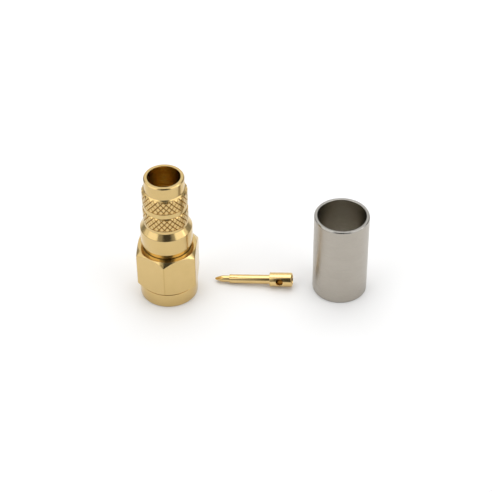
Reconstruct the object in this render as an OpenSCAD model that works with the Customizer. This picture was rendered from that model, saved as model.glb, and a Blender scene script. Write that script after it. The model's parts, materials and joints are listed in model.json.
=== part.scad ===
// Crimp-type coaxial plug, 50 ohm, supplied in three loose pieces: the body with its
// captive coupling nut, the centre contact and the crimp ferrule.
// Millimetres. The origin is the centre of the coupling nut's front face, +Z runs along
// the connector's axis towards the cable.

/* [Coupling nut] */
// Hexagon width across flats
nut_af = 8.0; // [7.9:0.01:8.1]
// Length of the nut
nut_l = 8.16; // [8.0:0.01:8.4]
// Diameter of the round collar at the front
collar_d = 7.9; // [7.7:0.01:7.94]
// Length of the round collar
collar_l = 2.25; // [2.0:0.05:2.5]
// Major diameter of the coupling thread, 1/4-36 UNS
thread_d = 6.35; // [6.3:0.01:6.4]
// Height at which the coupling thread ends
thread_end = 3.3; // [3.0:0.05:3.3]
// Diameter of the bore behind the thread
rear_bore_d = 6.8; // [6.7:0.01:6.9]
// Diameter of the lip behind the retaining ring
lip_d = 6.68; // [6.66:0.01:6.8]
// Diameter over the hexagon's turned-off corners
bar_d = 9.16; // [9.1:0.01:9.3]
// Turn of the hexagon about the axis, in degrees
hex_turn = 26.46; // [0:0.01:60]

/* [Connector body] */
// Height of the reference plane above the nut's front face
ref_z = 3.2; // [3.0:0.05:3.4]
// Outside diameter of the outer conductor tube
tube_d = 4.58; // [4.56:0.01:4.6]
// Length of the tube ahead of its shoulder
tube_l = 2.0; // [1.92:0.02:2.1]
// Diameter of the pilot that turns inside the nut
pilot_d = 6.4; // [6.3:0.01:6.5]
// Diameter of the pilot inside the nut's lip
land_d = 6.48; // [6.4:0.01:6.5]
// Height at which the neck starts
neck_z = 8.98; // [8.9:0.01:9.1]
// Diameter of the neck
neck_d = 7.04; // [6.9:0.01:7.1]
// Length of the neck
neck_l = 2.42; // [2.3:0.01:2.5]
// Length of the cone from the neck to the crimp stem
cone_l = 0.79; // [0.7:0.01:1.0]
// Length of the plain ring between the cone and the knurling
foot_l = 0.41; // [0.3:0.01:0.5]
// Overall height, from the nut's front face to the end of the stem
total_h = 19.68; // [19.5:0.01:20]

/* [Crimp stem] */
// Diameter over the knurling
knurl_d = 6.1; // [5.9:0.01:6.2]
// Diameter of the plain ring between the two knurled bands
ring_d = 5.94; // [5.8:0.01:5.98]
// Diameter of the stem's tip
tip_d = 5.42; // [5.3:0.01:5.5]
// Bore for the cable's dielectric
stem_bore_d = 4.44; // [4.42:0.01:4.5]
// Number of grooves of each hand round the knurling
knurl_n = 26; // [20:1:30]
// Diamonds along one knurled band, times two
knurl_rows = 5; // [4:1:6]
// Depth of the knurling
knurl_depth = 0.15; // [0.1:0.01:0.16]
// Share of a diamond that its grooves take
groove_share = 0.32; // [0.2:0.01:0.5]

/* [Contact] */
// Diameter of the contact's nose
nose_d = 0.92; // [0.9:0.01:0.94]
// Length of the nose
nose_l = 2.05; // [1.9:0.01:2.2]
// Diameter of the shank
shank_d = 1.27; // [1.2:0.01:1.28]
// Length of the shank
shank_l = 5.64; // [5.5:0.01:5.8]
// Diameter of the head
head_d = 2.0; // [1.9:0.01:2.1]
// Length of the head
head_l = 3.13; // [3.0:0.01:3.3]
// Bore of the solder cup
cup_d = 1.45; // [1.3:0.01:1.5]
// Depth of the solder cup
cup_l = 2.7; // [2.5:0.05:2.8]
// Diameter of the inspection hole
window_d = 1.0; // [0.8:0.05:1.1]

/* [Ferrule] */
// Length of the ferrule
ferrule_l = 12.6; // [12:0.05:13]
// Outside diameter of the ferrule
ferrule_d = 7.49; // [7.4:0.01:7.7]
// Bore of the ferrule
ferrule_bore_d = 6.62; // [6.5:0.01:6.7]

/* [Layout] */
// Distance of the ferrule's axis from the connector's, along X
ferrule_x = 23.57; // [22:0.01:30]
// Offset of the ferrule's axis along Y
ferrule_y = 0.60; // [-2:0.01:2]
// Tip of the contact, along X
contact_x = 6.31; // [6:0.01:7]
// Tip of the contact, along Y
contact_y = 1.40; // [0:0.01:2]
// Turn of the contact on the surface, in degrees
contact_turn = -5.64; // [-8:0.01:8]

/* [Hidden] */
$fn = 96;

// Radii and heights that several pieces share
tube_r = tube_d / 2;
dielectric_r = 2.05;
pilot_r = pilot_d / 2;
land_r = land_d / 2;
neck_r = neck_d / 2;
knurl_r = knurl_d / 2;
ring_r = ring_d / 2;
tip_r = tip_d / 2;
stem_bore_r = stem_bore_d / 2;
shoulder_z = ref_z + tube_l;
neck_top = neck_z + neck_l;
cone_top = neck_top + cone_l;

// Crimp stem, from the cone up: band, plain ring, band, tip
band_gap = 0.77;
tip_l = 1.64;
tip_z = total_h - tip_l;
stem_chamfer = 0.07;
band_low = cone_top + foot_l;
band_high = tip_z - stem_chamfer;
band_l = (band_high - band_low - band_gap) / 2;

// Retaining ring: it hangs in the body's groove and reaches into the nut's
snap_t = 0.5;
snap_top = 7.05;
snap_play = 0.08;
snap_in_r = 2.8;
snap_out_r = 3.56;
snap_body_r = 2.72;
snap_nut_r = 3.64;
snap_opening = 1.6;

// Gasket that the mating connector's front face seals on
gasket_t = 0.75;
gasket_out_r = 3.1;

// Seat of the contact's shank
shank_hole_r = shank_d / 2 + 0.015;
dielectric_l = 5.65;

// Small edges
edge = 0.08;

// A diamond knurl between heights z0 and z1. The blank is turned to the full diameter
// with bevelled ends, and V grooves of both hands cut it into flat-topped diamonds.
// Points alternate between groove crossings and the peaks above the diamonds.
module knurled_band(z0, z1) {
    over = 0.1;
    root_r = knurl_r - knurl_depth;
    peak_r = root_r + knurl_depth / groove_share;
    inner_r = root_r - 0.25;
    steps = 2 * knurl_n;
    step_z = (z1 - z0 + 2 * over) / knurl_rows;
    function on_ring(r, j, z) = [r * cos(180 * j / knurl_n), r * sin(180 * j / knurl_n), z];
    function is_root(j, k) = (j + k) % 2 == 0;
    lattice = [for (k = [0:knurl_rows], j = [0:steps - 1])
        on_ring(is_root(j, k) ? root_r : peak_r, j, z0 - over + k * step_z)];
    ends = [for (k = [0, knurl_rows], j = [0:steps - 1])
        on_ring(inner_r, j, z0 - over + k * step_z)];
    low = len(lattice);
    high = low + steps;
    function at(j, k) = k * steps + j % steps;
    diamonds = [for (k = [0:knurl_rows - 1], j = [0:steps - 1])
        each is_root(j, k)
            ? [[at(j, k), at(j + 1, k + 1), at(j + 1, k)], [at(j, k), at(j, k + 1), at(j + 1, k + 1)]]
            : [[at(j, k), at(j, k + 1), at(j + 1, k)], [at(j + 1, k), at(j, k + 1), at(j + 1, k + 1)]]];
    function n(j) = (j + 1) % steps;
    rims = [for (j = [0:steps - 1])
        each [[low + j, at(j, 0), at(n(j), 0), low + n(j)],
              [high + n(j), at(n(j), knurl_rows), at(j, knurl_rows), high + j],
              [low + n(j), high + n(j), high + j, low + j]]];
    bevel = 0.12;
    buried = 0.05;
    end_r = ring_r - 0.02;
    intersection() {
        polyhedron(concat(lattice, ends), concat(diamonds, rims));
        rotate_extrude()
            polygon([[inner_r - 0.1, z0 - buried], [end_r, z0 - buried], [end_r, z0],
                     [knurl_r, z0 + bevel], [knurl_r, z1 - bevel], [end_r, z1],
                     [end_r, z1 + buried], [inner_r - 0.1, z1 + buried]]);
    }
}

// Turned body: outer conductor tube, pilot, neck, cone and crimp stem in one piece
module turned_body() {
    core_r = knurl_r - knurl_depth - 0.06;
    lead = 0.15;
    rim = 0.12;
    rotate_extrude()
        polygon([
            [dielectric_r, ref_z],
            [tube_r - edge, ref_z], [tube_r, ref_z + edge],
            [tube_r, shoulder_z],
            [pilot_r - lead, shoulder_z], [pilot_r, shoulder_z + lead],
            [pilot_r, snap_top - snap_t - 0.05], [snap_body_r, snap_top - snap_t - 0.05],
            [snap_body_r, snap_top], [land_r, snap_top],
            [land_r, neck_z], [neck_r, neck_z],
            [neck_r, neck_top], [ring_r, cone_top],
            [ring_r, band_low], [core_r, band_low],
            [core_r, band_low + band_l], [ring_r, band_low + band_l],
            [ring_r, band_high - band_l], [core_r, band_high - band_l],
            [core_r, band_high], [ring_r, band_high],
            [tip_r + 0.04, tip_z], [tip_r, tip_z],
            [tip_r, total_h - rim], [tip_r - rim, total_h],
            [stem_bore_r + edge, total_h], [stem_bore_r, total_h - edge],
            [stem_bore_r, ref_z + dielectric_l], [dielectric_r, ref_z + dielectric_l]]);
}

module connector_body() {
    color("goldenrod") union() {
        turned_body();
        knurled_band(band_low, band_low + band_l);
        knurled_band(band_high - band_l, band_high);
    }
}

// Hexagon coupling nut with a round collar, corners turned off at both ends
module coupling_nut() {
    collar_r = collar_d / 2;
    corner_r = nut_af / sqrt(3);
    rear_r = 3.96;
    bar_r = bar_d / 2;
    front_slope = 0.92;
    rear_slope = 1.0;
    mouth_r = thread_d / 2 + 0.2;
    color("gold") difference() {
        intersection() {
            rotate(hex_turn) cylinder(r = corner_r, h = nut_l, $fn = 6);
            rotate_extrude()
                polygon([[0, 0], [collar_r - edge, 0], [collar_r, edge], [collar_r, collar_l],
                         [bar_r, collar_l + front_slope * (bar_r - collar_r)],
                         [bar_r, nut_l - rear_slope * (bar_r - rear_r)],
                         [rear_r, nut_l], [0, nut_l]]);
        }
        rotate_extrude()
            polygon([[0, -1], [mouth_r, -1], [mouth_r, 0.1], [thread_d / 2, 0.3],
                     [thread_d / 2, thread_end], [rear_bore_d / 2, thread_end + 0.15],
                     [rear_bore_d / 2, snap_top - snap_t - snap_play],
                     [snap_nut_r, snap_top - snap_t - snap_play],
                     [snap_nut_r, snap_top + snap_play], [lip_d / 2, snap_top + snap_play],
                     [lip_d / 2, nut_l - edge], [lip_d / 2 + edge, nut_l],
                     [lip_d / 2 + edge, nut_l + 1], [0, nut_l + 1]]);
    }
}

// Split ring that keeps the nut on the body
module retaining_ring() {
    color("darkgoldenrod") difference() {
        rotate_extrude()
            translate([snap_in_r, snap_top - snap_t]) square([snap_out_r - snap_in_r, snap_t]);
        translate([-snap_opening / 2, 0, 0]) cube([snap_opening, nut_af, nut_l]);
    }
}

// Insulator that carries the contact
module dielectric() {
    color("white") rotate_extrude()
        polygon([[shank_hole_r, ref_z], [dielectric_r - edge, ref_z], [dielectric_r, ref_z + edge],
                 [dielectric_r, ref_z + dielectric_l], [shank_hole_r + edge, ref_z + dielectric_l],
                 [shank_hole_r, ref_z + dielectric_l - edge]]);
}

// Sealing ring on the body's shoulder
module gasket() {
    inner_r = tube_r + 0.02;
    color("tomato") rotate_extrude()
        translate([inner_r, shoulder_z - gasket_t]) square([gasket_out_r - inner_r, gasket_t]);
}

// Centre contact: nose, shank and soldering head, turned in one piece. It lies on the
// front edges of its shank and of its head, so it leans by the slope between the two.
module contact_pin() {
    nose_r = nose_d / 2;
    shank_r = shank_d / 2;
    head_r = head_d / 2;
    head_z = nose_l + shank_l;
    pin_l = head_z + head_l;
    lean = atan((head_r - shank_r) / shank_l);
    tip_up = head_r * cos(lean) - head_z * sin(lean);
    window_z = head_z + 1.38;
    window_turn = 16;
    rear_bevel = 0.14;
    color("khaki")
        translate([contact_x, contact_y, tip_up]) rotate([0, 90 - lean, contact_turn])
        difference() {
            rotate_extrude()
                polygon([[0, 0], [0.07, 0], [0.19, 0.14], [0.38, 0.68], [nose_r, 1.05],
                         [nose_r, nose_l], [shank_r, nose_l], [shank_r, head_z], [head_r, head_z],
                         [head_r, pin_l - rear_bevel], [head_r - rear_bevel, pin_l], [0, pin_l]]);
            translate([0, 0, pin_l - cup_l]) cylinder(d = cup_d, h = cup_l + 1);
            translate([0, 0, pin_l - cup_l - 0.4]) cylinder(d1 = 0, d2 = cup_d, h = 0.4, $fn = 48);
            rotate([0, 0, -window_turn]) translate([0, 0, window_z]) rotate([90, 0, 0])
                cylinder(d = window_d, h = head_d);
        }
}

// Crimp ferrule, a plain tube with rounded rims
module crimp_ferrule() {
    in_r = ferrule_bore_d / 2;
    out_r = ferrule_d / 2;
    round_r = 0.1;
    inner_edge = 0.03;
    color("silver") translate([ferrule_x, ferrule_y, 0]) rotate_extrude()
        polygon(concat(
            [[in_r + inner_edge, 0]],
            [for (a = [-90:22.5:0]) [out_r - round_r + round_r * cos(a), round_r + round_r * sin(a)]],
            [for (a = [0:22.5:90]) [out_r - round_r + round_r * cos(a),
                                   ferrule_l - round_r + round_r * sin(a)]],
            [[in_r + inner_edge, ferrule_l], [in_r, ferrule_l - inner_edge],
             [in_r, inner_edge]]));
}

connector_body();
coupling_nut();
retaining_ring();
dielectric();
gasket();
contact_pin();
crimp_ferrule();
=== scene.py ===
import json
import math

import bmesh
import bpy
from mathutils import Matrix, Vector


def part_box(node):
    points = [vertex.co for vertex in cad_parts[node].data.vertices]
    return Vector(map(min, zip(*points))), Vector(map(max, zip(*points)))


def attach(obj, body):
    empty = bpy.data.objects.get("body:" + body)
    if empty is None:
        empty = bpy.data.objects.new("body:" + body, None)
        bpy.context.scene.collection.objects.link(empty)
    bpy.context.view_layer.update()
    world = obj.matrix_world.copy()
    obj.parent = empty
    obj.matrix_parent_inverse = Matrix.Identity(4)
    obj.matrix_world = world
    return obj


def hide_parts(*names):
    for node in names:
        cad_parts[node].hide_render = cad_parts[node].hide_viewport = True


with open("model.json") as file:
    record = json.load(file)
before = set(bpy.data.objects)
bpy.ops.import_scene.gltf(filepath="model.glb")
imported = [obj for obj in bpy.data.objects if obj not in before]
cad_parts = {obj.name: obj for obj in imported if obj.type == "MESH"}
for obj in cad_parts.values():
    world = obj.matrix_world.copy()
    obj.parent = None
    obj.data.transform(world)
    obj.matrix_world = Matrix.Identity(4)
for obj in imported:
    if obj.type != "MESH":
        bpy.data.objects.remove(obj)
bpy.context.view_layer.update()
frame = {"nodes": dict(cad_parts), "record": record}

# ---------------------------------------------------------------------------------------------
# Connector body. One turned brass piece: the outer conductor tube that enters the mating jack,
# the pilot that the coupling nut turns on, the neck, and the knurled stem that the cable's braid
# is crimped on. It is gold plated all over after turning and knurling.
# ---------------------------------------------------------------------------------------------

MM = 0.001
NEAR = 0.01                 # mm, the play when points are picked by their place
SMOOTH_UP_TO = math.radians(24)


def turned(outline, closed=True, steps=240):
    """A part turned about Z. The outline is a list of (radius, height, edge round) in mm."""
    bm = bmesh.new()
    corners = [bm.verts.new((r * MM, 0, z * MM)) for r, z, _ in outline]
    ends = corners[1:] + corners[:1] if closed else corners[1:]
    for a, b in zip(corners, ends):
        bm.edges.new((a, b))
    for size in sorted({e for _, _, e in outline if e}):
        at = [v for v, (_, _, e) in zip(corners, outline) if e == size]
        bmesh.ops.bevel(bm, geom=at, offset=size * MM, offset_type="OFFSET", segments=4,
                        profile=0.5, affect="VERTICES", clamp_overlap=True, material=-1)
    bmesh.ops.spin(bm, geom=bm.verts[:] + bm.edges[:], cent=(0, 0, 0), axis=(0, 0, 1),
                   angle=2 * math.pi, steps=steps, use_merge=True)
    bmesh.ops.remove_doubles(bm, verts=bm.verts[:], dist=1e-7)
    bmesh.ops.recalc_face_normals(bm, faces=bm.faces[:])
    return bm


def make_piece(bm, name, node, body, materials):
    """Turns a finished bmesh into a piece that stands for a CAD node and rides on its body."""
    mesh = bpy.data.meshes.new(name)
    bm.to_mesh(mesh)
    bm.free()
    for material in materials:
        mesh.materials.append(material)
    mesh.polygons.foreach_set("use_smooth", [True] * len(mesh.polygons))
    mesh.set_sharp_from_angle(angle=SMOOTH_UP_TO)
    obj = bpy.data.objects.new(name, mesh)
    bpy.context.scene.collection.objects.link(obj)
    even = obj.modifiers.new("Even shading", "WEIGHTED_NORMAL")
    even.keep_sharp = True
    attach(obj, body)
    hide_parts(node)


def srgb(red, green, blue):
    """A colour written as it looks, 0 to 255, as the linear values that a shader takes."""
    parts = [c / 255 for c in (red, green, blue)]
    return tuple(c / 12.92 if c <= 0.04045 else ((c + 0.055) / 1.055) ** 2.4 for c in parts) + (1,)


def set_radius(vert, radius):
    """Moves a vertex straight out from the Z axis to a radius in metres."""
    share = radius / vert.co.xy.length
    vert.co.x *= share
    vert.co.y *= share


def cut_along(bm, place, normal, dist=1e-7, clear_outer=False):
    """Cuts a bmesh along a plane, and takes away what is in front of it when asked to."""
    bmesh.ops.bisect_plane(bm, geom=bm.verts[:] + bm.edges[:] + bm.faces[:], dist=dist,
                           plane_co=place, plane_no=normal, clear_outer=clear_outer)


def link(tree, start, out, end, into):
    tree.links.new(start.outputs[out], end.inputs[into])


def add_maths(tree, operation, second=None):
    """A maths node. second is the value of its second input, where nothing is linked to it."""
    node = tree.nodes.new("ShaderNodeMath")
    node.operation = operation
    if second is not None:
        node.inputs[1].default_value = second
    return node


def add_length(tree):
    node = tree.nodes.new("ShaderNodeVectorMath")
    node.operation = "LENGTH"
    return node


def add_range(tree, start, end, interpolation="LINEAR"):
    """Carries the values between start[0] and start[1] over to end[0] and end[1]."""
    node = tree.nodes.new("ShaderNodeMapRange")
    node.interpolation_type = interpolation
    for name, value in zip(("From Min", "From Max", "To Min", "To Max"), (*start, *end)):
        node.inputs[name].default_value = value
    return node


def add_mix(tree, first, second):
    """A mix of two colours."""
    node = tree.nodes.new("ShaderNodeMix")
    node.data_type = "RGBA"
    node.inputs["A"].default_value = first
    node.inputs["B"].default_value = second
    return node


RADIUS_SHARE = 1.7          # marks are this much closer on end faces than on walls


def turning_marks_group():
    """Fine rings left by the tool: a height for the bump, and a slow change of tone."""
    group = bpy.data.node_groups.new("Turning marks", "ShaderNodeTree")
    face = group.interface
    face.new_socket("Vector", in_out="INPUT", socket_type="NodeSocketVector")
    for name, value in (("Marks per mm", 12.0), ("Cloud size mm", 2.0)):
        face.new_socket(name, in_out="INPUT", socket_type="NodeSocketFloat").default_value = value
    face.new_socket("Rings", in_out="OUTPUT", socket_type="NodeSocketFloat")
    face.new_socket("Clouds", in_out="OUTPUT", socket_type="NodeSocketFloat")
    nodes = group.nodes
    inside, outside = nodes.new("NodeGroupInput"), nodes.new("NodeGroupOutput")

    # Position along the cut: height on a wall, radius on an end face
    split = nodes.new("ShaderNodeSeparateXYZ")
    link(group, inside, "Vector", split, "Vector")
    flat = nodes.new("ShaderNodeCombineXYZ")
    link(group, split, "X", flat, "X")
    link(group, split, "Y", flat, "Y")
    reach = add_length(group)
    link(group, flat, "Vector", reach, 0)
    along = add_maths(group, "MULTIPLY_ADD", RADIUS_SHARE)
    link(group, reach, "Value", along, 0)
    link(group, split, "Z", along, 2)
    in_mm = add_maths(group, "MULTIPLY", 1 / MM)
    link(group, along, "Value", in_mm, 0)
    rings = nodes.new("ShaderNodeTexNoise")
    rings.noise_dimensions = "1D"
    rings.inputs["Detail"].default_value = 3.0
    rings.inputs["Roughness"].default_value = 0.7
    link(group, in_mm, "Value", rings, "W")
    link(group, inside, "Marks per mm", rings, "Scale")
    link(group, rings, "Fac", outside, "Rings")

    # Plating varies a little over a few millimetres
    size = add_maths(group, "DIVIDE")
    size.inputs[0].default_value = 1 / MM
    link(group, inside, "Cloud size mm", size, 1)
    clouds = nodes.new("ShaderNodeTexNoise")
    clouds.inputs["Detail"].default_value = 2.0
    link(group, inside, "Vector", clouds, "Vector")
    link(group, size, "Value", clouds, "Scale")
    link(group, clouds, "Fac", outside, "Clouds")
    return group


TURNING_MARKS = turning_marks_group()


def turned_metal(name, light, dark, rough=(0.12, 0.2), marks=12.0, depth_mm=0.0006,
                 clouds_mm=2.0, at=(0, 0, 0), turn=(0, 0, 0)):
    """Plated, turned metal. at and turn give the place and tilt of the axis it was turned on, and
    rough is its roughness in the troughs and on the crests of the marks."""
    material = bpy.data.materials.new(name)
    material.use_nodes = True
    tree = material.node_tree
    nodes = tree.nodes
    shader = nodes["Principled BSDF"]
    shader.inputs["Metallic"].default_value = 1.0
    place = nodes.new("ShaderNodeTexCoord")
    centre = nodes.new("ShaderNodeMapping")
    centre.vector_type = "TEXTURE"
    centre.inputs["Location"].default_value = at
    centre.inputs["Rotation"].default_value = turn
    link(tree, place, "Object", centre, "Vector")
    pattern = nodes.new("ShaderNodeGroup")
    pattern.node_tree = TURNING_MARKS
    pattern.inputs["Marks per mm"].default_value = marks
    pattern.inputs["Cloud size mm"].default_value = clouds_mm
    link(tree, centre, "Vector", pattern, "Vector")
    tone = add_mix(tree, light, dark)
    link(tree, pattern, "Clouds", tone, "Factor")
    link(tree, tone, "Result", shader, "Base Color")
    polish = add_range(tree, (0.3, 0.7), rough)
    link(tree, pattern, "Rings", polish, "Value")
    link(tree, polish, "Result", shader, "Roughness")
    bump = nodes.new("ShaderNodeBump")
    bump.inputs["Strength"].default_value = 1.0
    bump.inputs["Distance"].default_value = depth_mm * MM
    link(tree, pattern, "Rings", bump, "Height")
    link(tree, bump, "Normal", shader, "Normal")
    return material


def knurled_band(low, high, root_r, crest_r, around, half_rows, groove, chamfer, sunk=0.15):
    """A sleeve with a diamond knurl, in mm. Square cells are poked and their old edges dissolved,
    which leaves diamonds, and each diamond is inset and raised between V grooves. Both ends are
    chamfered at 45 degrees, and close at the sunk depth under the roots."""
    bm = bmesh.new()
    cell_h = 2 * (high - low) / half_rows
    rows = math.ceil(half_rows / 2)
    rungs = [bm.verts.new((root_r * MM, 0, (low + k * cell_h) * MM)) for k in range(rows + 1)]
    for a, b in zip(rungs, rungs[1:]):
        bm.edges.new((a, b))
    bmesh.ops.spin(bm, geom=bm.verts[:] + bm.edges[:], cent=(0, 0, 0), axis=(0, 0, 1),
                   angle=2 * math.pi, steps=around, use_merge=True)
    squares = [e for e in bm.edges if len(e.link_faces) == 2]
    centres = bmesh.ops.poke(bm, faces=bm.faces[:])["verts"]
    for vert in centres:
        set_radius(vert, root_r * MM)
    bmesh.ops.dissolve_edges(bm, edges=squares, use_verts=False)
    cut_along(bm, (0, 0, high * MM), (0, 0, 1), clear_outer=True)
    bmesh.ops.recalc_face_normals(bm, faces=bm.faces[:])
    if sum(f.normal.dot(f.calc_center_median()) for f in bm.faces) < 0:
        bmesh.ops.reverse_faces(bm, faces=bm.faces[:])
    lands = bm.faces[:]
    bmesh.ops.inset_individual(bm, faces=lands, thickness=groove * MM,
                               depth=(crest_r - root_r) * MM, use_even_offset=True)
    tops = bmesh.ops.poke(bm, faces=lands)
    for vert in tops["verts"] + [v for f in tops["faces"] for v in f.verts]:
        set_radius(vert, crest_r * MM)
    for height in (low + chamfer, high - chamfer):
        cut_along(bm, (0, 0, height * MM), (0, 0, 1))
    for vert in bm.verts:
        room = min(vert.co.z / MM - low, high - vert.co.z / MM)
        set_radius(vert, min(vert.co.xy.length, (crest_r - chamfer + room) * MM))

    # Closed at both ends, under the surface of the blank
    open_edges = [e for e in bm.edges if e.is_boundary]
    rims = [v for v in bmesh.ops.extrude_edge_only(bm, edges=open_edges)["geom"]
            if isinstance(v, bmesh.types.BMVert)]
    for vert in rims:
        set_radius(vert, (root_r - sunk) * MM)
    bmesh.ops.bridge_loops(bm, edges=[e for e in bm.edges if e.is_boundary])
    bmesh.ops.recalc_face_normals(bm, faces=bm.faces[:])
    return bm


def add_shell(first, second):
    """Adds the second bmesh to the first as a shell of its own."""
    carrier = bpy.data.meshes.new("carrier")
    second.to_mesh(carrier)
    second.free()
    first.from_mesh(carrier)
    bpy.data.meshes.remove(carrier)


body_low, body_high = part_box("connector_body")
REF_Z = body_low.z / MM
TOTAL_H = body_high.z / MM
NECK_R = body_high.x / MM
TUBE_R = 2.29
DIELECTRIC_R = 2.05
DIELECTRIC_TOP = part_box("dielectric")[1].z / MM
SHOULDER_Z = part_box("gasket")[1].z / MM
PILOT_R, LAND_R = 3.2, 3.26
RING_LOW, RING_HIGH = (corner.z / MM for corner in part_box("retaining_ring"))
RING_SEAT_R, RING_SEAT_LOW = 2.72, RING_LOW - 0.05
NECK_Z, NECK_TOP = 8.98, 11.40
CONE_TOP = 12.19

# Crimp stem, from the cone up: plain foot, band, plain ring, band, shoulder and plain tip
FOOT_L, PLAIN_RING_L, TIP_L = 0.41, 0.69, 1.84
TIP_SHOULDER = 0.12
TIP_CHAMFER_R, TIP_CHAMFER_L = 0.12, 0.17
TIP_R, STEM_BORE_R = 2.71, 2.22
TIP_Z = TOTAL_H - TIP_L
BAND_LOW, BAND_HIGH = CONE_TOP + FOOT_L, TIP_Z - TIP_SHOULDER
BAND_L = (BAND_HIGH - BAND_LOW - PLAIN_RING_L) / 2
BLANK_R, KNURL_R, KNURL_ROOT_R = 2.94, 3.05, 2.88
CORE_R = KNURL_ROOT_R - 0.06
KNURL_AROUND, KNURL_HALF_ROWS = 26, 5
KNURL_GROOVE, KNURL_CHAMFER = 0.055, 0.2

GOLD_LIGHT, GOLD_DARK = srgb(215, 187, 130), srgb(206, 178, 120)
body_gold = turned_metal("Gold plate, turned", GOLD_LIGHT, GOLD_DARK, marks=16.0, depth_mm=0.0016)
# Painted light: the bore's gold is lighter than the outside's, which brightens the deep bore; its
# coarse drilled rings are its own.
bore_gold_painted_lighter = turned_metal("Gold plate, drilled bore, painted lighter", srgb(244, 216, 140), srgb(226, 192, 108),
                         rough=(0.08, 0.14), marks=9.0, depth_mm=0.035)

body_mesh = turned([
    (DIELECTRIC_R, REF_Z, 0), (TUBE_R, REF_Z, 0.08), (TUBE_R, SHOULDER_Z, 0),
    (PILOT_R, SHOULDER_Z, 0.12), (PILOT_R, RING_SEAT_LOW, 0), (RING_SEAT_R, RING_SEAT_LOW, 0),
    (RING_SEAT_R, RING_HIGH, 0), (LAND_R, RING_HIGH, 0), (LAND_R, NECK_Z, 0),
    (NECK_R, NECK_Z, 0.03), (NECK_R, NECK_TOP, 0.05), (BLANK_R, CONE_TOP, 0.02),
    (BLANK_R, BAND_LOW, 0), (CORE_R, BAND_LOW, 0),
    (CORE_R, BAND_LOW + BAND_L, 0), (BLANK_R, BAND_LOW + BAND_L, 0.02),
    (BLANK_R, BAND_HIGH - BAND_L, 0.02), (CORE_R, BAND_HIGH - BAND_L, 0),
    (CORE_R, BAND_HIGH, 0), (TIP_R + TIP_SHOULDER, BAND_HIGH, 0), (TIP_R, TIP_Z, 0),
    (TIP_R, TOTAL_H - TIP_CHAMFER_L, 0.01), (TIP_R - TIP_CHAMFER_R, TOTAL_H, 0.01),
    (STEM_BORE_R, TOTAL_H, 0.02),
    (STEM_BORE_R, DIELECTRIC_TOP, 0), (DIELECTRIC_R, DIELECTRIC_TOP, 0)])
for face in body_mesh.faces:
    in_bore = all(v.co.z > (DIELECTRIC_TOP - NEAR) * MM
                  and v.co.xy.length < (STEM_BORE_R + NEAR) * MM for v in face.verts)
    face.material_index = 1 if in_bore else 0
for band_low in (BAND_LOW, BAND_HIGH - BAND_L):
    add_shell(body_mesh, knurled_band(band_low, band_low + BAND_L, KNURL_ROOT_R, KNURL_R,
                                      around=KNURL_AROUND, half_rows=KNURL_HALF_ROWS,
                                      groove=KNURL_GROOVE, chamfer=KNURL_CHAMFER))
make_piece(body_mesh, "outer_conductor", "connector_body", "body",
           [body_gold, bore_gold_painted_lighter])

# ---------------------------------------------------------------------------------------------
# Insulator. A turned tube of white fluoropolymer inside the outer conductor, flush with its
# front face. The contact's shank is pushed through its hole from the cable side.
# ---------------------------------------------------------------------------------------------

SHANK_HOLE_R = 0.65


def plain_material(name, colour, shade, rough, grain_mm, depth_mm, subsurface=0.0):
    """Plastic or rubber with a fine grain in its colour and surface."""
    material = bpy.data.materials.new(name)
    material.use_nodes = True
    tree = material.node_tree
    nodes = tree.nodes
    shader = nodes["Principled BSDF"]
    shader.inputs["Subsurface Weight"].default_value = subsurface
    shader.inputs["Subsurface Scale"].default_value = 0.4 * MM
    place = nodes.new("ShaderNodeTexCoord")
    grain = nodes.new("ShaderNodeTexNoise")
    grain.inputs["Scale"].default_value = 1 / (grain_mm * MM)
    grain.inputs["Detail"].default_value = 4.0
    link(tree, place, "Object", grain, "Vector")
    tone = add_mix(tree, colour, shade)
    link(tree, grain, "Fac", tone, "Factor")
    link(tree, tone, "Result", shader, "Base Color")
    sheen = add_range(tree, (0, 1), (rough - 0.08, rough + 0.08))
    link(tree, grain, "Fac", sheen, "Value")
    link(tree, sheen, "Result", shader, "Roughness")
    bump = nodes.new("ShaderNodeBump")
    bump.inputs["Distance"].default_value = depth_mm * MM
    link(tree, grain, "Fac", bump, "Height")
    link(tree, bump, "Normal", shader, "Normal")
    return material


insulator_white = plain_material("White fluoropolymer", srgb(240, 240, 236), srgb(228, 228, 222),
                                 rough=0.42, grain_mm=0.15, depth_mm=0.004, subsurface=0.3)
insulator_mesh = turned([
    (SHANK_HOLE_R, REF_Z, 0.04), (DIELECTRIC_R, REF_Z, 0.08),
    (DIELECTRIC_R, DIELECTRIC_TOP, 0.03), (SHANK_HOLE_R, DIELECTRIC_TOP, 0.08)], steps=128)
make_piece(insulator_mesh, "insulator", "dielectric", "body", [insulator_white])

# ---------------------------------------------------------------------------------------------
# Gasket. A moulded silicone ring with rounded edges that sits on the body's shoulder and seals
# on the front face of the mating jack.
# ---------------------------------------------------------------------------------------------

GASKET_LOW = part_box("gasket")[0].z / MM
GASKET_IN_R, GASKET_OUT_R = TUBE_R + 0.02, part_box("gasket")[1].x / MM

silicone = plain_material("Silicone rubber", srgb(196, 92, 62), srgb(178, 80, 54),
                          rough=0.5, grain_mm=0.1, depth_mm=0.003)
gasket_mesh = turned([
    (GASKET_IN_R, GASKET_LOW, 0.12), (GASKET_OUT_R, GASKET_LOW, 0.2),
    (GASKET_OUT_R, SHOULDER_Z, 0.1), (GASKET_IN_R, SHOULDER_Z, 0.05)], steps=128)
make_piece(gasket_mesh, "sealing_gasket", "gasket", "body", [silicone])

# ---------------------------------------------------------------------------------------------
# Retaining ring. A split ring of flat bronze wire, snapped into the body's groove. It reaches
# into the nut's groove, so the nut turns freely but can't come off.
# ---------------------------------------------------------------------------------------------

RING_IN_R, RING_OUT_R = 2.8, 3.56
RING_OPENING = 1.6

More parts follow.
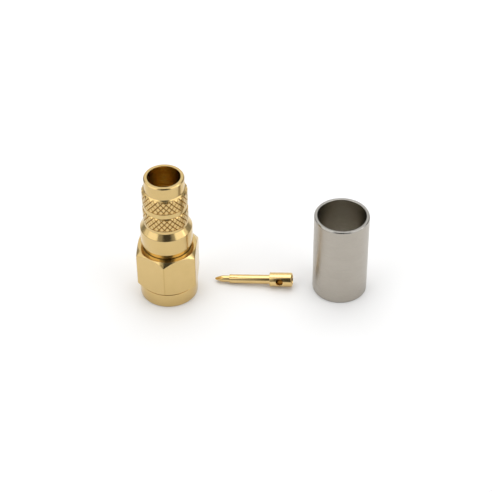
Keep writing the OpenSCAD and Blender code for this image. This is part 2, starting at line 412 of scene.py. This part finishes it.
bronze = turned_metal("Spring bronze", srgb(190, 142, 96), srgb(172, 124, 82),
                      rough=(0.22, 0.34), marks=9.0)
ring_mesh = turned([
    (RING_IN_R, RING_LOW, 0.05), (RING_OUT_R, RING_LOW, 0.05),
    (RING_OUT_R, RING_HIGH, 0.05), (RING_IN_R, RING_HIGH, 0.05)], steps=120)
for side in (-1, 1):
    cut_along(ring_mesh, (side * RING_OPENING / 2 * MM, 0, 0), (1, 0, 0), dist=1e-8)
centres = {f: f.calc_center_median() for f in ring_mesh.faces}
opening = [f for f, c in centres.items() if c.y > 0 and abs(c.x) < RING_OPENING / 2 * MM]
bmesh.ops.delete(ring_mesh, geom=opening, context="FACES")
bmesh.ops.holes_fill(ring_mesh, edges=[e for e in ring_mesh.edges if e.is_boundary], sides=0)
bmesh.ops.recalc_face_normals(ring_mesh, faces=ring_mesh.faces[:])
make_piece(ring_mesh, "snap_ring", "retaining_ring", "body", [bronze])

# ---------------------------------------------------------------------------------------------
# Coupling nut. Turned from hexagon bar: a round collar in front, the corners turned off at both
# ends, a fine internal thread and a groove for the retaining ring. It is gold plated, and its
# six flats keep the drawn surface of the bar.
# ---------------------------------------------------------------------------------------------

NUT_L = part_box("coupling_nut")[1].z / MM
NUT_AF = 8.0
BAR_R = 4.58
BAR_EDGE = 0.035
COLLAR_R, COLLAR_L = 3.95, 2.25
COLLAR_LINE_R, COLLAR_LINE_Z = COLLAR_R - 0.09, COLLAR_L - 0.1
REAR_R = 3.96
FRONT_SLOPE, REAR_SLOPE = 0.92, 1.0
MOUTH_R, MOUTH_L, MOUTH_END = 3.375, 0.1, 0.3
THREAD_R, THREAD_CREST_R = 3.175, 2.83
THREAD_PITCH = 25.4 / 36
THREAD_END = 3.3
RIDGE_START, RIDGE_END = 0.5, THREAD_END - 0.35
REAR_BORE_R, REAR_BORE_Z, LIP_R = 3.4, THREAD_END + 0.15, 3.34
RING_PLAY = 0.08
RING_GROOVE_R, RING_GROOVE_LOW, RING_GROOVE_HIGH = 3.64, RING_LOW - RING_PLAY, RING_HIGH + RING_PLAY
HEX_STEPS = 240


def drawn_flats(name, light, dark):
    """The flats of the bar: faint lines along the bar and soft clouds, less even than turning."""
    material = turned_metal(name, light, dark, rough=(0.14, 0.24), marks=2.0, depth_mm=0.0002,
                            clouds_mm=1.3)
    tree = material.node_tree
    nodes = tree.nodes
    stretch = nodes.new("ShaderNodeMapping")
    stretch.inputs["Scale"].default_value = (1 / (0.06 * MM), 1 / (0.06 * MM), 1 / (4 * MM))
    link(tree, nodes["Texture Coordinate"], "Object", stretch, "Vector")
    lines = nodes.new("ShaderNodeTexNoise")
    lines.inputs["Scale"].default_value = 1.0
    link(tree, stretch, "Vector", lines, "Vector")
    second = nodes.new("ShaderNodeBump")
    second.inputs["Distance"].default_value = 0.0006 * MM
    link(tree, lines, "Fac", second, "Height")
    link(tree, nodes["Bump"], "Normal", second, "Normal")
    link(tree, second, "Normal", nodes["Principled BSDF"], "Normal")
    return material


def thread_ridge(low, high, pitch, wall_r, crest_r, per_turn=96, fade=14, root_sunk=0.03,
                 end_sunk=0.01):
    """One continuous ridge of an internal 60 degree thread, in mm, that fades out at its ends. Its
    root is sunk in the wall, and so is its crest where it has faded out."""
    bm = bmesh.new()
    root_half, crest_half = pitch * 7 / 16, pitch / 8
    root_r, end_r = wall_r + root_sunk, wall_r + end_sunk
    section = [(root_r, low - root_half), (crest_r, low - crest_half),
               (crest_r, low + crest_half), (root_r, low + root_half)]
    start = bm.faces.new([bm.verts.new((r * MM, 0, z * MM)) for r, z in section])
    steps = round((high - low) / pitch * per_turn)
    bmesh.ops.spin(bm, geom=[start] + start.edges[:] + start.verts[:], cent=(0, 0, 0),
                   axis=(0, 0, 1), dvec=(0, 0, pitch * MM / per_turn),
                   angle=2 * math.pi * steps / per_turn, steps=steps)
    for vert in bm.verts:
        if vert.co.xy.length > (crest_r + NEAR) * MM:
            continue
        done = (vert.co.z / MM - low) / pitch * per_turn
        full = min(1.0, max(0.0, done / fade), max(0.0, (steps - done) / fade))
        set_radius(vert, (end_r - full * (end_r - crest_r)) * MM)
    bmesh.ops.recalc_face_normals(bm, faces=bm.faces[:])
    return bm


nut_gold = turned_metal("Gold plate, nut", GOLD_LIGHT, GOLD_DARK)
flat_gold = drawn_flats("Gold plate, drawn flats", GOLD_LIGHT, GOLD_DARK)
# The bar's corner strips are a darker gold than its flats.
corner_gold = drawn_flats("Gold plate, bar corners", srgb(203, 174, 114), srgb(194, 164, 104))

# The bar starts as a round one, and its points then move to the hexagon and its turned-off ends
bar_low_z, bar_high_z = 2.5, 7.8
corner_r = NUT_AF / math.sqrt(3)
nut_mesh = turned([
    (COLLAR_R, 0, 0.2), (COLLAR_R, COLLAR_LINE_Z, 0.03), (COLLAR_LINE_R, COLLAR_LINE_Z, 0),
    (COLLAR_LINE_R, COLLAR_L, 0), (corner_r, bar_low_z, 0), (corner_r, bar_high_z, 0),
    (REAR_R, NUT_L, 0), (LIP_R, NUT_L, 0.02), (LIP_R, RING_GROOVE_HIGH, 0),
    (RING_GROOVE_R, RING_GROOVE_HIGH, 0), (RING_GROOVE_R, RING_GROOVE_LOW, 0),
    (REAR_BORE_R, RING_GROOVE_LOW, 0), (REAR_BORE_R, REAR_BORE_Z, 0), (THREAD_R, THREAD_END, 0),
    (THREAD_R, MOUTH_END, 0), (MOUTH_R, MOUTH_L, 0), (MOUTH_R, 0, 0)], steps=HEX_STEPS)
hexagon = [v for v in nut_mesh.verts if v.co.xy.length > (corner_r - NEAR) * MM]
one_step = 2 * math.pi / HEX_STEPS
beside_corner = math.acos(NUT_AF / 2 / BAR_R)
for vert in hexagon:
    across = math.atan2(vert.co.y, vert.co.x) % math.radians(60) - math.radians(30)
    from_corner = (math.radians(30) - abs(across)) / one_step
    if 0.5 < from_corner < 1.5:
        shift = math.copysign(beside_corner, across) - across
        vert.co = Matrix.Rotation(shift, 3, "Z") @ vert.co
        across += shift
    flat_r = min(BAR_R, NUT_AF / 2 / math.cos(across))
    rear = vert.co.z > (bar_low_z + bar_high_z) / 2 * MM
    vert.co.z = MM * (NUT_L - REAR_SLOPE * (flat_r - REAR_R) if rear
                      else COLLAR_L + FRONT_SLOPE * (flat_r - COLLAR_R))
    set_radius(vert, flat_r * MM)
on_hexagon = set(hexagon)
for face in nut_mesh.faces:
    if all(v in on_hexagon for v in face.verts):
        at_corner = min(v.co.xy.length for v in face.verts) > (BAR_R - 2 * NEAR) * MM
        face.material_index = 2 if at_corner else 1
nut_mesh.normal_update()
bar_edges = [e for e in nut_mesh.edges
             if all(v in on_hexagon for v in e.verts) and e.calc_face_angle(0) > math.radians(12)]
bmesh.ops.bevel(nut_mesh, geom=bar_edges, offset=BAR_EDGE * MM, offset_type="OFFSET", segments=2,
                profile=0.5, affect="EDGES", clamp_overlap=True, material=-1)
corner = max(frame["nodes"]["coupling_nut"].data.vertices, key=lambda v: v.co.xy.length).co
bmesh.ops.rotate(nut_mesh, verts=nut_mesh.verts[:], cent=(0, 0, 0),
                 matrix=Matrix.Rotation(math.atan2(corner.y, corner.x), 3, "Z"))
add_shell(nut_mesh, thread_ridge(RIDGE_START, RIDGE_END, THREAD_PITCH, THREAD_R, THREAD_CREST_R))
make_piece(nut_mesh, "hexagon_nut", "coupling_nut", "nut",
           [nut_gold, flat_gold, corner_gold])

# ---------------------------------------------------------------------------------------------
# Centre contact. Turned brass, gold plated: a pointed nose, a shank that is pressed through the
# insulator, and a head whose cup takes the cable's inner conductor. Solder is seen through the
# cup's side hole. It lies on the surface, on the front edges of its shank and its head.
# ---------------------------------------------------------------------------------------------

NOSE_R, NOSE_L = 0.46, 2.05
SHANK_R, SHANK_L = 0.635, 5.64
HEAD_R, HEAD_L = 1.0, 3.13
HEAD_BEVEL = 0.14
CUP_R, CUP_L, CUP_CONE_L = 0.725, 2.7, 0.4
WINDOW_R, WINDOW_Z, WINDOW_TURN = 0.5, 1.38, 16
WINDOW_DRILL_L = 1.6
CUP_MOUNT_DEPTH = 1.0       # the record's mount is this far inside the cup's mouth

cup = next(m for m in frame["record"]["mounts"] if m["name"] == "solder_cup")
cup_axis = Vector(cup["axis"]).normalized()
head_z = NOSE_L + SHANK_L
contact_l = head_z + HEAD_L
contact_tip = Vector(cup["pos_m"]) - cup_axis * (contact_l - CUP_MOUNT_DEPTH) * MM
lean = math.asin(cup_axis.z)
contact_place = (Matrix.Translation(contact_tip)
                 @ Matrix.Rotation(math.atan2(cup_axis.y, cup_axis.x), 4, "Z")
                 @ Matrix.Rotation(math.pi / 2 - lean, 4, "Y"))


def drilled(bm, radius, length, place):
    """Cuts a round hole through a bmesh: the drill's matrix takes +Z along the hole."""
    holder = bpy.data.objects.new("holder", bpy.data.meshes.new("holder"))
    bm.to_mesh(holder.data)
    bm.free()
    drill = bpy.data.objects.new("drill", bpy.data.meshes.new("drill"))
    tool = bmesh.new()
    bmesh.ops.create_cone(tool, cap_ends=True, segments=64, radius1=radius, radius2=radius,
                          depth=length, matrix=place)
    tool.to_mesh(drill.data)
    tool.free()
    for obj in (holder, drill):
        bpy.context.scene.collection.objects.link(obj)
    cut = holder.modifiers.new("Hole", "BOOLEAN")
    cut.operation = "DIFFERENCE"
    cut.solver = "EXACT"
    cut.object = drill
    bpy.context.view_layer.update()
    evaluated = holder.evaluated_get(bpy.context.evaluated_depsgraph_get())
    result = bmesh.new()
    result.from_mesh(bpy.data.meshes.new_from_object(evaluated))
    for obj in (holder, drill):
        bpy.data.objects.remove(obj)
    return result


contact_mesh = turned([
    (0, 0, 0), (0.07, 0, 0.03), (0.19, 0.14, 0.08), (0.38, 0.68, 0.18), (NOSE_R, 1.05, 0.18),
    (NOSE_R, NOSE_L, 0), (SHANK_R, NOSE_L, 0.03), (SHANK_R, head_z, 0), (HEAD_R, head_z, 0.04),
    (HEAD_R, contact_l - HEAD_BEVEL, 0.03), (HEAD_R - HEAD_BEVEL, contact_l, 0.03),
    (CUP_R, contact_l, 0.04), (CUP_R, contact_l - CUP_L, 0),
    (0, contact_l - CUP_L - CUP_CONE_L, 0)], closed=False, steps=128)
window = (Matrix.Rotation(math.radians(-WINDOW_TURN), 4, "Z")
          @ Matrix.Translation((0, -HEAD_R * MM, (head_z + WINDOW_Z) * MM))
          @ Matrix.Rotation(math.pi / 2, 4, "X"))
contact_mesh = drilled(contact_mesh, WINDOW_R * MM, WINDOW_DRILL_L * MM, window)
bmesh.ops.transform(contact_mesh, matrix=contact_place, verts=contact_mesh.verts[:])
contact_gold = turned_metal("Gold plate, contact", srgb(226, 196, 138), srgb(214, 183, 122),
                            rough=(0.1, 0.16), marks=14.0, at=contact_tip,
                            turn=contact_place.to_euler())
make_piece(contact_mesh, "centre_contact", "contact_pin", "body", [contact_gold])

# ---------------------------------------------------------------------------------------------
# Crimp ferrule. A plain tube, cut and tumbled so that its rims are rounded, then plated with
# satin nickel. It is slid over the cable, and crimped on the braid over the knurled stem.
# ---------------------------------------------------------------------------------------------

ferrule_low, ferrule_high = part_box("crimp_ferrule")
ferrule_middle = (ferrule_low + ferrule_high) / 2
FERRULE_FOOT = (ferrule_middle.x, ferrule_middle.y, 0)
FERRULE_R = (ferrule_high.x - ferrule_low.x) / 2 / MM
FERRULE_BORE_R = 3.31
FERRULE_L = ferrule_high.z / MM
TOP_CHAMFER_R, TOP_CHAMFER_L = 0.09, 0.12

satin_nickel = turned_metal("Satin nickel", srgb(182, 176, 166), srgb(170, 163, 153),
                            rough=(0.24, 0.34), marks=20.0, depth_mm=0.013, clouds_mm=2.5,
                            at=FERRULE_FOOT)
rim_nickel = turned_metal("Nickel, tumbled rim", srgb(172, 169, 163), srgb(160, 157, 151),
                          rough=(0.12, 0.2), marks=20.0, depth_mm=0.001, clouds_mm=2.5,
                          at=FERRULE_FOOT)
# Painted light: the bore's nickel is lighter than the outside's, which brightens the inside of the
# tube; its drawn finish is its own.
bore_nickel_painted_lighter = turned_metal("Nickel, drawn bore, painted lighter", srgb(210, 205, 194), srgb(198, 192, 180),
                            rough=(0.14, 0.22), marks=22.0, depth_mm=0.012, clouds_mm=3.0,
                            at=FERRULE_FOOT)
ferrule_mesh = turned([
    (FERRULE_BORE_R, 0, 0.07), (FERRULE_R, 0, 0.18),
    (FERRULE_R, FERRULE_L - TOP_CHAMFER_L, 0.03), (FERRULE_R - TOP_CHAMFER_R, FERRULE_L, 0.02),
    (FERRULE_BORE_R, FERRULE_L, 0.07)])
for face in ferrule_mesh.faces:
    radii = [v.co.xy.length for v in face.verts]
    on_rim = max(radii) - min(radii) > NEAR / 10 * MM
    in_bore = max(radii) < (FERRULE_BORE_R + NEAR) * MM
    face.material_index = 1 if on_rim else 2 if in_bore else 0
bmesh.ops.translate(ferrule_mesh, vec=FERRULE_FOOT, verts=ferrule_mesh.verts[:])
make_piece(ferrule_mesh, "ferrule", "crimp_ferrule", "body",
           [satin_nickel, rim_nickel, bore_nickel_painted_lighter])

# ---------------------------------------------------------------------------------------------
# Studio. A sheet of white paper, a large soft box overhead and two on each side, a pale room that
# is brighter behind, and the dark shape of the camera, which is hidden from camera rays. The paper
# can be looked through from below.
# ---------------------------------------------------------------------------------------------

FLOOR_HALF = 1.0
FLOOR_GLOW, FLOOR_GREY = 0.05, 0.83
PAPER_CENTRE = (0.012, 0, 0)
PAPER_END = (0.035, 0.11)   # metres from its centre, where the table takes over in reflections
TABLE_DARK = 0.7

floor_mesh = bpy.data.meshes.new("floor")
bm = bmesh.new()
bmesh.ops.create_grid(bm, x_segments=1, y_segments=1, size=FLOOR_HALF)
bm.to_mesh(floor_mesh)
bm.free()
floor = bpy.data.objects.new("floor", floor_mesh)
bpy.context.scene.collection.objects.link(floor)

paper = bpy.data.materials.new("White floor")
paper.use_nodes = True
tree = paper.node_tree
nodes = tree.nodes
nodes.clear()
output = nodes.new("ShaderNodeOutputMaterial")
ray = nodes.new("ShaderNodeLightPath")
place = nodes.new("ShaderNodeTexCoord")
centre = nodes.new("ShaderNodeMapping")
centre.vector_type = "TEXTURE"
centre.inputs["Location"].default_value = PAPER_CENTRE
link(tree, place, "Object", centre, "Vector")
reach = add_length(tree)
link(tree, centre, "Vector", reach, 0)

# Metal sees the paper end and a darker table begin
table = add_range(tree, PAPER_END, (0.0, TABLE_DARK), "SMOOTHSTEP")
link(tree, reach, "Value", table, "Value")
mirrored = add_maths(tree, "MULTIPLY")
link(tree, ray, "Is Glossy Ray", mirrored, 0)
link(tree, table, "Result", mirrored, 1)
shade = add_mix(tree, (FLOOR_GREY, FLOOR_GREY, FLOOR_GREY, 1), (0, 0, 0, 1))
link(tree, mirrored, "Value", shade, "Factor")
matt = nodes.new("ShaderNodeBsdfDiffuse")
link(tree, shade, "Result", matt, "Color")

# A faint glow for camera, transmission and glossy rays, less where metal sees the table
clear = add_maths(tree, "ADD")
link(tree, ray, "Is Camera Ray", clear, 0)
link(tree, ray, "Is Transmission Ray", clear, 1)
shown = add_maths(tree, "ADD")
link(tree, clear, "Value", shown, 0)
link(tree, ray, "Is Glossy Ray", shown, 1)
lit = add_maths(tree, "SUBTRACT")
link(tree, shown, "Value", lit, 0)
link(tree, mirrored, "Value", lit, 1)
strength = add_maths(tree, "MULTIPLY", FLOOR_GLOW)
link(tree, lit, "Value", strength, 0)
glow = nodes.new("ShaderNodeEmission")
link(tree, strength, "Value", glow, "Strength")
both = nodes.new("ShaderNodeAddShader")
link(tree, matt, "BSDF", both, 0)
link(tree, glow, "Emission", both, 1)
below = nodes.new("ShaderNodeNewGeometry")
through = nodes.new("ShaderNodeBsdfTransparent")
side = nodes.new("ShaderNodeMixShader")
link(tree, below, "Backfacing", side, "Fac")
link(tree, both, "Shader", side, 1)
link(tree, through, "BSDF", side, 2)
link(tree, side, "Shader", output, "Surface")
floor_mesh.materials.append(paper)

# Camera: a long lens that looks down on the layout, with a small shift
SUBJECT = Vector((13.30, 11.06, 0)) * MM
ELEVATION = math.radians(40.49)
DISTANCE = 226.7 * MM
LENS, SENSOR = 115.05, 36
SHIFT_X, SHIFT_Y = -0.0394, -0.0201
camera = bpy.data.objects.new("Camera", bpy.data.cameras.new("Camera"))
bpy.context.scene.collection.objects.link(camera)
camera.data.lens = LENS
camera.data.sensor_width = SENSOR
camera.data.shift_x, camera.data.shift_y = SHIFT_X, SHIFT_Y
camera.data.clip_start = 0.01
camera.location = SUBJECT + DISTANCE * Vector((0, -math.cos(ELEVATION), math.sin(ELEVATION)))
camera.rotation_euler = (math.pi / 2 - ELEVATION, 0, 0)
bpy.context.scene.camera = camera


def facing(azimuth, elevation, distance):
    """A place at a distance from the connector, in metres and degrees, and a turn that faces it."""
    a, e = math.radians(azimuth), math.radians(elevation)
    out = Vector((math.cos(a) * math.cos(e), math.sin(a) * math.cos(e), math.sin(e)))
    return out * distance, out.to_track_quat("Z", "Y").to_euler()


def soft_box(name, azimuth, elevation, distance, width, height, power):
    """A lamp with a rectangular cloth in front, in metres and watts, that the camera can't see."""
    light = bpy.data.lights.new(name, "AREA")
    light.shape = "RECTANGLE"
    light.size, light.size_y = width, height
    light.energy = power
    lamp = bpy.data.objects.new(name, light)
    lamp.location, lamp.rotation_euler = facing(azimuth, elevation, distance)
    bpy.context.scene.collection.objects.link(lamp)
    lamp.visible_camera = False


SIDE_DISTANCE = 0.42

soft_box("Soft box overhead", 90, 78, 0.45, width=0.44, height=0.38, power=0.93)
soft_box("Soft box right", -25, 30, SIDE_DISTANCE, width=0.34, height=0.39, power=0.46)
soft_box("Soft box far right", 0, 21, SIDE_DISTANCE, width=0.17, height=0.25, power=0.1)
soft_box("Soft box left", -150, 30, SIDE_DISTANCE, width=0.34, height=0.39, power=0.44)
soft_box("Soft box far left", 172, 20, SIDE_DISTANCE, width=0.22, height=0.23, power=0.12)

# The camera's own dark shape, between the soft boxes, with edges too near to be sharp
CARD_HALF = Vector((0.046, 0.092, 1))
CARD_EDGE = 0.45            # the share of its half width in which it fades out
CARD_AZIMUTH, CARD_ELEVATION, CARD_DISTANCE = -85, 35, 0.12
card_mesh = bpy.data.meshes.new("camera_card")
bm = bmesh.new()
bmesh.ops.create_grid(bm, x_segments=1, y_segments=1, size=1.0)
bmesh.ops.scale(bm, vec=CARD_HALF, verts=bm.verts[:])
bm.to_mesh(card_mesh)
bm.free()
card = bpy.data.objects.new("camera_card", card_mesh)
card.location, card.rotation_euler = facing(CARD_AZIMUTH, CARD_ELEVATION, CARD_DISTANCE)
bpy.context.scene.collection.objects.link(card)
card.visible_camera = card.visible_transmission = False
black = bpy.data.materials.new("Black camera")
black.use_nodes = True
tree = black.node_tree
nodes = tree.nodes
shader = nodes["Principled BSDF"]
shader.inputs["Base Color"].default_value = (0.06, 0.06, 0.06, 1)
shader.inputs["Roughness"].default_value = 0.8
place = nodes.new("ShaderNodeTexCoord")
oval = nodes.new("ShaderNodeMapping")
oval.inputs["Scale"].default_value = (1 / CARD_HALF.x, 1 / CARD_HALF.y, 0)
link(tree, place, "Object", oval, "Vector")
reach = add_length(tree)
link(tree, oval, "Vector", reach, 0)
cover = add_range(tree, (1.0 - CARD_EDGE, 1.0), (1.0, 0.0), "SMOOTHSTEP")
link(tree, reach, "Value", cover, "Value")
link(tree, cover, "Result", shader, "Alpha")
card_mesh.materials.append(black)

# Pale room, brighter overhead and behind, and white where the camera looks past the floor
WALL_RISE = (0.45, 0.9)
WALL_LIGHT, CEILING_LIGHT, BEHIND_LIGHT = 0.4, 0.8, 0.62

world = bpy.data.worlds.new("Room")
bpy.context.scene.world = world
world.use_nodes = True
tree = world.node_tree
nodes = tree.nodes
background = nodes["Background"]
background.inputs["Color"].default_value = (1, 1, 1, 1)
direction = nodes.new("ShaderNodeTexCoord")
split = nodes.new("ShaderNodeSeparateXYZ")
link(tree, direction, "Generated", split, "Vector")
height = add_range(tree, WALL_RISE, (WALL_LIGHT, CEILING_LIGHT), "SMOOTHSTEP")
link(tree, split, "Z", height, "Value")
behind = add_range(tree, WALL_RISE, (0.0, BEHIND_LIGHT), "SMOOTHSTEP")
link(tree, split, "Y", behind, "Value")
walls = add_maths(tree, "ADD")
link(tree, height, "Result", walls, 0)
link(tree, behind, "Result", walls, 1)
ray = nodes.new("ShaderNodeLightPath")
white = add_maths(tree, "MAXIMUM")
link(tree, ray, "Is Camera Ray", white, 0)
link(tree, walls, "Value", white, 1)
link(tree, white, "Value", background, "Strength")

bpy.context.scene.view_settings.view_transform = "Standard"
